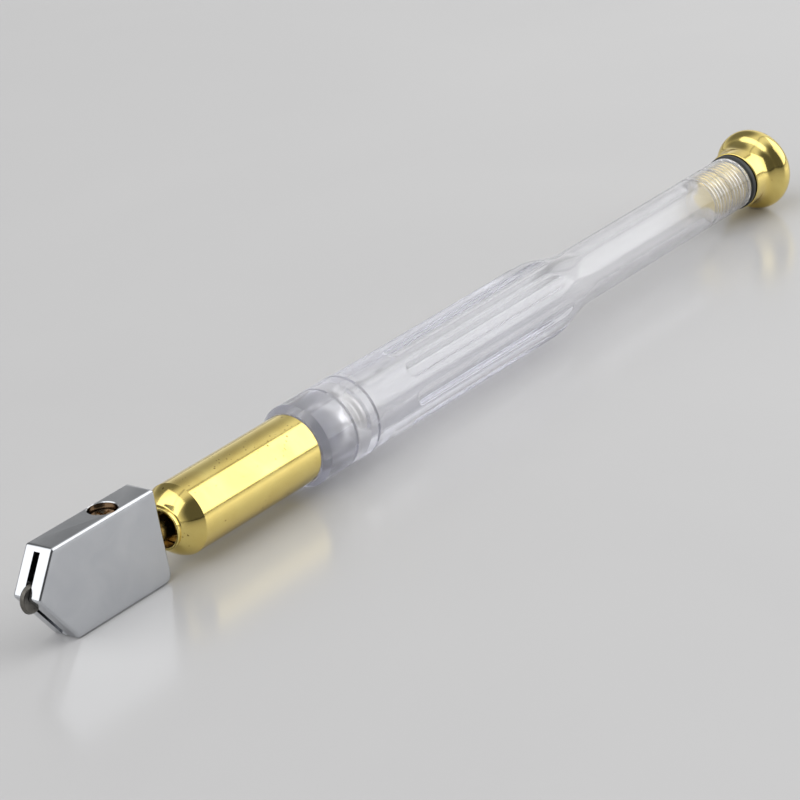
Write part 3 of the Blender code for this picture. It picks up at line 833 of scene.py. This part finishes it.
def make_wick():
    """Three twisted strands: the radius dips by a third between strands that turn with the station."""
    front, rear = ends("oil_wick")
    radius = radius_of("oil_wick")
    lobes = rows_between(front + 0.1, rear - 0.1, 0.25, radius)
    outline = np.vstack([[(front, 0), (front, radius * 0.7)], lobes, [(rear, radius * 0.7), (rear, 0)]])

    def strands(station, angle, base):
        return base * (1 - 0.16 * (1 + np.cos(3 * angle + station * 3.2)))

    wick = mesh_object("cotton_wick", *lathe(outline, even_angles(36), TOOL, strands))
    finish_piece(wick, "shaft", "oil_wick", COTTON)


def make_ferrule():
    """A drawn tube whose front closes in a domed nose, crisp at the shoulder, down to a short lip."""
    wall, nose, lip_radius, bore = 0.95, 2.6, 3.0, FERRULE_BORE
    shoulder = FERRULE_FRONT + 3.3
    rear = FERRULE_REAR
    inner = FERRULE_RADIUS - wall
    lip = rounded(
        [
            (shoulder + 3.95, bore),
            (FERRULE_FRONT, bore),
            (FERRULE_FRONT, lip_radius),
            (shoulder - nose - 0.1, lip_radius - 0.04),
            (shoulder - nose, lip_radius),
        ],
        [0, 0.1, 0.16, 0.02, 0], 6, closed=False,
    )[1:-1]
    dome = bulged((shoulder - nose, lip_radius), (shoulder, FERRULE_RADIUS), 34, 26)
    body = rounded(
        [
            dome[-2],
            (shoulder, FERRULE_RADIUS),
            (rear, FERRULE_RADIUS),
            (rear, inner),
            (shoulder + 4.0, inner),
            (shoulder + 4.0, bore),
            (shoulder, bore),
        ],
        [0, 0.06, 0.12, 0.08, 0.1, 0.1, 0], 5, closed=False,
    )[1:-1]
    outline = np.vstack([lip, dome[:-1], body])
    ferrule = mesh_object("ferrule_tube", *lathe(outline, even_angles(160)))
    finish_piece(ferrule, "barrel", "ferrule", FERRULE_BRASS)


def make_bush():
    """A sleeve with a flange at its rear and a groove for the shaft's O-ring inside."""
    front, rear = ends("shaft_bush")
    bore, sleeve, flange = 1.66, 2.56, radius_of("shaft_bush")
    seal_front, seal_rear, seal_radius = front + 2.3, front + 3.5, 2.25
    corners = [
        (front, bore),
        (front, sleeve),
        (rear - 0.85, sleeve),
        (rear - 0.85, flange),
        (rear, flange),
        (rear, bore),
        (seal_rear, bore),
        (seal_rear, seal_radius),
        (seal_front, seal_radius),
        (seal_front, bore),
    ]
    bush = mesh_object("guide_bush", *lathe(rounded(corners, 0.08, 4), even_angles(72)))
    # The bush's brass is darkened as painted shade in the ferrule's bore.
    finish_piece(bush, "barrel", "shaft_bush", BORE_SHADED_BRASS)


def make_o_ring(name, node, section, body):
    """A torus: a circle of the section's radius swung round the axis."""
    front, rear = ends(node)
    centre = radius_of(node) - section
    angle = even_angles(24)
    outline = np.stack([(front + rear) / 2 + section * np.cos(angle), centre + section * np.sin(angle)], -1)
    ring = mesh_object(name, *lathe(outline, even_angles(96)))
    finish_piece(ring, body, node, RUBBER)


def make_flat_ring(name, node, inner, edge, body, finish, segments=96):
    """A flat ring with rounded edges, as long and as wide as its CAD node."""
    front, rear = ends(node)
    outline = rounded(ring_outline(front, rear, inner, radius_of(node)), edge, 5)
    ring = mesh_object(name, *lathe(outline, even_angles(segments)))
    finish_piece(ring, body, node, finish)


def make_spring():
    """A helix whose pitch is 1 - 2 * closed * cos(whole turn * share) of its mean.

    The pitch is smallest at both ends, so that the end turns lie closer.
    """
    front, rear = ends("return_spring")
    wire = 0.24
    turns, closed = 5.0, 0.18
    radius = radius_of("return_spring") - wire
    share = np.linspace(0, 1, 320)
    low, high = front + wire * 1.05, rear - wire * 1.05
    eased = share - closed * np.sin(TURN * share) / math.pi
    angle = TURN * turns * share
    station = low + (high - low) * eased
    path = np.stack([station, radius * np.cos(angle), AXIS_HEIGHT + radius * np.sin(angle)], -1)
    tangent = np.gradient(path, axis=0)
    tangent /= np.linalg.norm(tangent, axis=-1, keepdims=True)
    spring = mesh_object("spring_coil", *loft(swept_wire(path, tangent, wire)))
    finish_piece(spring, "barrel", "return_spring", STEEL)
    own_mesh(spring)


def make_valve_seat():
    """A plug with a small hole and a tapered lip at its rear."""
    front, rear = ends("valve_seat")
    corners = [
        (front, 1.0),
        (front, radius_of("valve_seat")),
        (rear - 0.45, radius_of("valve_seat")),
        (rear - 0.45, 1.7),
        (rear, 1.5),
        (rear, 1.0),
    ]
    seat = mesh_object("valve_seat_plug", *lathe(rounded(corners, 0.08, 4), even_angles(72)))
    finish_piece(seat, "barrel", "valve_seat", TURNED_BRASS)


def make_valve_stem():
    """A pin with a flat head at its rear."""
    front, rear = ends("valve_stem")
    stem, head = 0.68, radius_of("valve_stem")
    corners = [(front, 0), (front, stem), (rear - 0.8, stem), (rear - 0.8, head), (rear, head), (rear, 0)]
    outline = rounded(corners, [0, 0.1, 0.05, 0.1, 0.2, 0], 4, closed=False)
    pin = mesh_object("valve_pin", *lathe(outline, even_angles(48)))
    finish_piece(pin, "shaft", "valve_stem", TURNED_BRASS)


def make_nipple():
    """A sleeve with a sealing groove in front and a coarse thread where it enters the handle."""
    front, rear = ends("barrel_nipple")
    wide, narrow, bore = radius_of("barrel_nipple"), 3.2, 1.95
    step = front + 8.4
    groove_front, groove_rear = front + 5.6, front + 6.8
    head = rounded(
        [
            (rear - 1, bore),
            (front, bore),
            (front, wide),
            (groove_front, wide),
            (groove_front, 3.15),
            (groove_rear, 3.15),
            (groove_rear, wide),
            (step, wide),
            (step, narrow),
            (step + 1, narrow),
        ],
        [0, 0.1, 0.3, 0.1, 0.08, 0.08, 0.1, 0.15, 0.08, 0], 4, closed=False,
    )[1:-1]
    threaded = rows_between(step + 0.4, rear - 0.5, 0.07, narrow)
    mouth = [(rear - 0.5, narrow), (rear, narrow - 0.3), (rear, bore), (front + 3, bore)]
    tail = rounded(mouth, [0, 0.08, 0.1, 0], 4, closed=False)[1:-1]
    outline = np.vstack([head, threaded, tail])

    def shape(station, angle, radius):
        cut = thread_cut(step + 0.8, rear - 0.4, 1.0, 0.34)(station, angle, radius)
        return np.where(np.abs(radius - narrow) < 0.01, cut, radius)

    nipple = mesh_object("threaded_nipple", *lathe(outline, even_angles(120), TOOL, shape))
    finish_piece(nipple, "barrel", "barrel_nipple", NICKEL)


# ---------------------------------------------------------------- handle and cap

COLLAR_RADIUS = radius_of("handle_barrel")
GRIP_RADIUS = 5.78
TAIL_RADIUS = 4.13
RESERVOIR_RADIUS = 2.45
SOCKET_RADIUS, SOCKET_DEPTH = 3.3, 11.4
FLUTES = 9
FLUTE_CUTTER = 2.75
FLUTE_AXIS = 8.2
FLUTE_SPAN = (HANDLE_FRONT + 19.0, HANDLE_FRONT + 63.0)
FLUTE_TURN = math.radians(50.0 + 90.0)
THREAD_PITCH, THREAD_DEPTH = 0.8, 0.38
THREAD_LENGTH = 9.6


def flute_cut(station, angle, radius):
    """The lesser of the radius and that of the flute's wall.

    A flute is a round-ended rod of radius c whose axis runs at distance d beside the tool's, so
    its wall lies at d cos(a) - sqrt(c^2 - d^2 sin(a)^2), with a measured from the flute's middle.
    Past the rod's end centres, c^2 loses the square of the distance past them.
    """
    pitch = TURN / FLUTES
    away = (angle - FLUTE_TURN + pitch / 2) % pitch - pitch / 2
    start, end = FLUTE_SPAN[0] + FLUTE_CUTTER, FLUTE_SPAN[1] - FLUTE_CUTTER
    past = np.maximum(np.maximum(start - station, station - end), 0)
    inside = FLUTE_CUTTER**2 - past**2 - (FLUTE_AXIS * np.sin(away)) ** 2
    wall = FLUTE_AXIS * np.cos(away) - np.sqrt(np.maximum(inside, 0))
    return np.where(inside > 0, np.minimum(radius, wall), radius)


def flute_angles():
    """Angles round the handle, fifteen to each flute and eight to each land.

    The flute's edge is where its wall meets the grip, so it falls exactly on an angle.
    """
    d, c, r = FLUTE_AXIS, FLUTE_CUTTER, GRIP_RADIUS
    edge = math.acos((d * d + r * r - c * c) / (2 * d * r))
    pitch = TURN / FLUTES
    flute = np.linspace(-edge, edge, 15)
    land = np.linspace(edge, pitch - edge, 10)[1:-1]
    one = np.concatenate([flute, land])
    return (FLUTE_TURN + np.arange(FLUTES)[:, None] * pitch + one).ravel()


def groove(station, radius, depth, half=0.24):
    return [(station - half, radius), (station, radius - depth), (station + half, radius)]


def handle_outside():
    """The handle's outer outline, front to rear."""
    front, rear = HANDLE_FRONT, HANDLE_REAR
    collar = [
        (front, SOCKET_RADIUS),
        (front, COLLAR_RADIUS - 0.73),
        (front + 1.0, COLLAR_RADIUS),
        *groove(front + 6.6, COLLAR_RADIUS, 0.3),
        *groove(front + 11.45, COLLAR_RADIUS, 0.3),
        (front + 12.65, GRIP_RADIUS),
        (front + 18.0, GRIP_RADIUS),
    ]
    radii = [0.08, 0.08, 0.12] + [0.06, 0.03, 0.06] * 2 + [0.3, 0]
    collar = rounded(collar, radii, 5, closed=False)[1:-1]
    fine_front = rows_between(front + 18.6, front + 23.0, 0.16, GRIP_RADIUS)
    middle = rows_between(front + 23.5, front + 55.0, 1.2, GRIP_RADIUS)
    share = np.linspace(0, 1, 60)
    ramp = GRIP_RADIUS + (TAIL_RADIUS - GRIP_RADIUS) * (1 - np.cos(math.pi * share)) / 2
    shoulder = np.stack([front + 55.5 + 11.0 * share, ramp], -1)
    tail = rounded(
        [
            (front + 67.5, TAIL_RADIUS),
            *groove(front + 98.6, TAIL_RADIUS, 0.16),
            *groove(front + 103.2, TAIL_RADIUS, 0.16),
            (rear, TAIL_RADIUS),
            (rear, 2.5),
        ],
        [0] + [0.06, 0.03, 0.06] * 2 + [0.22, 0], 5, closed=False,
    )[:-1]
    return np.vstack([collar, fine_front, middle, shoulder, tail])


def handle_inside():
    """The bore, rear to front: the cap's thread, the reservoir and the nipple's socket."""
    front, rear = HANDLE_FRONT, HANDLE_REAR
    major = RESERVOIR_RADIUS + THREAD_DEPTH
    thread = rows_between(rear - 0.35, rear - THREAD_LENGTH, 0.1, major)
    plain = rows_between(rear - THREAD_LENGTH - 0.4, front + SOCKET_DEPTH + 1, 2.5, RESERVOIR_RADIUS)
    socket = rounded(
        [
            (front + SOCKET_DEPTH + 1, RESERVOIR_RADIUS),
            (front + SOCKET_DEPTH, RESERVOIR_RADIUS),
            (front + SOCKET_DEPTH, SOCKET_RADIUS),
            (front + 0.5, SOCKET_RADIUS),
        ],
        [0, 0.1, 0.1, 0], 4, closed=False,
    )[1:]
    mouth = rounded([(rear, 3.2), (rear, major), (rear - 1, major)], [0, 0.15, 0], 5, closed=False)[1:-1]
    return np.vstack([mouth, thread, plain, socket])


def make_handle():
    """The outer outline with flutes pressed into it, and the bore with the cap's thread."""
    major = RESERVOIR_RADIUS + THREAD_DEPTH
    least_outside = 4
    thread_start, thread_end = HANDLE_REAR - THREAD_LENGTH, HANDLE_REAR - 0.3
    bore_thread = thread_cut(thread_start, thread_end, THREAD_PITCH, THREAD_DEPTH - 0.08)

    def shape(station, angle, radius):
        bore = np.where(np.abs(radius - major) < 1e-6, bore_thread(station, angle, radius), radius)
        return np.where(radius > least_outside, flute_cut(station, angle, radius), bore)

    outline = np.vstack([handle_outside(), handle_inside()])
    handle = mesh_object("fluted_handle", *lathe(outline, flute_angles(), TOOL, shape))
    finish_piece(handle, "barrel", "handle_barrel", PLASTIC)


def make_cap():
    """A threaded stud, a neck, a hollow fillet, and a knob of two elliptic arcs that meet at its widest.

    The fillet leaves the neck along the axis and meets the front ellipse.
    """
    radius = radius_of("filler_cap")
    stud, neck = 2.5, 4.45
    front_half, back = 3.4, 3.55
    widest = CAP_REAR - back
    face = CAP_FRONT + 9.1
    neck_end, meet = widest - 3.8, widest - 1.8
    drop = (widest - meet) / front_half
    meet_radius = radius * math.sqrt(1 - drop**2)
    rise = math.degrees(math.atan2(meet_radius - neck, meet - neck_end))
    fillet = bulged((neck_end, neck), (meet, meet_radius), -2 * rise, 16)
    front = ellipse(widest, front_half, radius, 180 - math.degrees(math.acos(drop)), 90, 24)[1:]
    tip = [(CAP_FRONT, 0), (CAP_FRONT, stud - 0.45), (CAP_FRONT + 0.5, stud - 0.02)]
    start = rounded(tip, [0, 0.15, 0], 4, closed=False)[:-1]
    thread = rows_between(CAP_FRONT + 0.5, face - 1.0, 0.06, stud)
    step = [(face - 1.0, stud), (face, stud), (face, neck), tuple(fillet[0])]
    shoulder = rounded(step, [0, 0.1, 0.16, 0], 6, closed=False)[1:-1]
    rear = ellipse(widest, back, radius, 90, 0, 36)[1:]
    outline = np.vstack([start, thread, shoulder, fillet, front, rear])
    cut = thread_cut(CAP_FRONT, face - 0.9, THREAD_PITCH, THREAD_DEPTH)

    def shape(station, angle, base):
        return np.where(np.abs(base - stud) < 1e-6, cut(station, angle, base), base)

    cap = mesh_object("filler_knob", *lathe(outline, even_angles(160), TOOL, shape))
    finish_piece(cap, "cap", "filler_cap", TURNED_BRASS)


def build_pieces():
    make_head()
    make_wheel()
    make_axle()
    make_clamp_screw()
    make_shaft()
    make_wick()
    make_ferrule()
    make_bush()
    make_o_ring("shaft_o_ring", "shaft_seal", 0.26, "barrel")
    make_o_ring("ferrule_o_ring", "ferrule_seal", 0.36, "barrel")
    make_flat_ring("seat_gasket_ring", "seat_gasket", 2.2, 0.06, "barrel", RUBBER)
    make_spring()
    make_flat_ring("thrust_washer", "spring_washer", 1.7, 0.06, "barrel", STEEL)
    make_valve_seat()
    make_valve_stem()
    make_flat_ring("valve_seal_ring", "valve_seal", 0.75, 0.12, "shaft", RUBBER)
    make_nipple()
    make_handle()
    make_flat_ring("cap_washer_ring", "cap_washer", 2.7, 0.28, "cap_carrier", RUBBER, 128)
    make_cap()


# ---------------------------------------------------------------- table, light and camera

ROOM_LEVEL = 0.93
LENS_MM = 168.75
SENSOR_MM = 36.0
CAMERA_PLACE = (-0.378112, -0.298369, 0.200887)
CAMERA_AZIMUTH = 51.03
CAMERA_DIP = 22.54
CAMERA_ROLL = 6.15


def make_table():
    size = 6.0
    mesh = bpy.data.meshes.new("table")
    corners = [(-size, -size, 0), (size, -size, 0), (size, size, 0), (-size, size, 0)]
    mesh.from_pydata(corners, [], [(0, 1, 2, 3)])
    table = bpy.data.objects.new("table", mesh)
    bpy.context.scene.collection.objects.link(table)
    mesh.materials.append(pale_table())


def softbox(name, azimuth, elevation, distance, width, height, radiance):
    """A rectangular lamp that looks equally bright from every side of its front."""
    lamp = bpy.data.lights.new(name, "AREA")
    lamp.shape = "RECTANGLE"
    lamp.size, lamp.size_y = width, height
    lamp.energy = radiance * math.pi * width * height
    a, e = math.radians(azimuth), math.radians(elevation)
    away = Vector((math.cos(a) * math.cos(e), math.sin(a) * math.cos(e), math.sin(e)))
    place = bpy.data.objects.new(name, lamp)
    bpy.context.scene.collection.objects.link(place)
    place.location = away * distance
    place.rotation_euler = away.to_track_quat("Z", "Y").to_euler()


def smooth_step(tree, value, start, end, low, high):
    """Low before the start, high past the end, and a smooth change between them."""
    return add(
        tree, "ShaderNodeMapRange", {"interpolation_type": "SMOOTHSTEP"},
        _0=value, _1=start, _2=end, _3=low, _4=high,
    ).outputs[0]


def studio_world():
    """A pale grey room, darker in front and behind, where black flags would stand.

    Two thin dark seams cross it: overhead along the tool, and low down all round the table.
    """
    world = bpy.data.worlds.new("studio")
    bpy.context.scene.world = world
    world.use_nodes = True
    tree = world.node_tree
    where = add(tree, "ShaderNodeTexCoord").outputs["Generated"]
    level = ROOM_LEVEL
    flags = [(-105, 25, 0.60, 0.90, 0.12), (72, 42, 0.71, 0.955, 0.22)]
    for azimuth, elevation, edge, full, kept in flags:
        a, e = math.radians(azimuth), math.radians(elevation)
        towards = (math.cos(a) * math.cos(e), math.sin(a) * math.cos(e), math.sin(e))
        facing = vectors(tree, "DOT_PRODUCT", where, towards).outputs["Value"]
        level = arithmetic(tree, "MULTIPLY", level, smooth_step(tree, facing, edge, full, 1.0, kept))
    parts = add(tree, "ShaderNodeSeparateXYZ", None, Vector=where)
    seams = [("Y", 0.0, 0.012, 0.045, 0.35), ("Z", 0.04, 0.014, 0.034, 0.15)]
    for part, middle, core, edge, kept in seams:
        apart = arithmetic(tree, "ABSOLUTE", arithmetic(tree, "SUBTRACT", parts.outputs[part], middle))
        level = arithmetic(tree, "MULTIPLY", level, smooth_step(tree, apart, core, edge, kept, 1.0))
    background = tree.nodes["Background"]
    background.inputs["Color"].default_value = (1.0, 1.0, 0.995, 1)
    tree.links.new(level, background.inputs["Strength"])


def make_camera():
    """The camera looks along its azimuth, dipped and rolled about its own line of sight."""
    lens = bpy.data.cameras.new("camera")
    lens.lens = LENS_MM
    lens.sensor_width = SENSOR_MM
    lens.clip_start, lens.clip_end = 0.01, 30
    camera = bpy.data.objects.new("camera", lens)
    bpy.context.scene.collection.objects.link(camera)
    a, e = math.radians(CAMERA_AZIMUTH), math.radians(CAMERA_DIP)
    look = Vector((math.sin(a) * math.cos(e), math.cos(a) * math.cos(e), -math.sin(e)))
    level = look.to_track_quat("-Z", "Y").to_matrix()
    roll = Matrix.Rotation(math.radians(CAMERA_ROLL), 3, look)
    camera.matrix_world = Matrix.Translation(CAMERA_PLACE) @ (roll @ level).to_4x4()
    bpy.context.scene.camera = camera


def make_studio():
    make_table()
    softbox("right_softbox", -42, 30, 1.0, 1.15, 0.95, 1.3)
    softbox("left_softbox", 160, 40, 1.0, 1.5, 1.2, 1.2)
    studio_world()
    make_camera()
    bpy.context.scene.view_settings.view_transform = "Standard"


build_pieces()
make_studio()
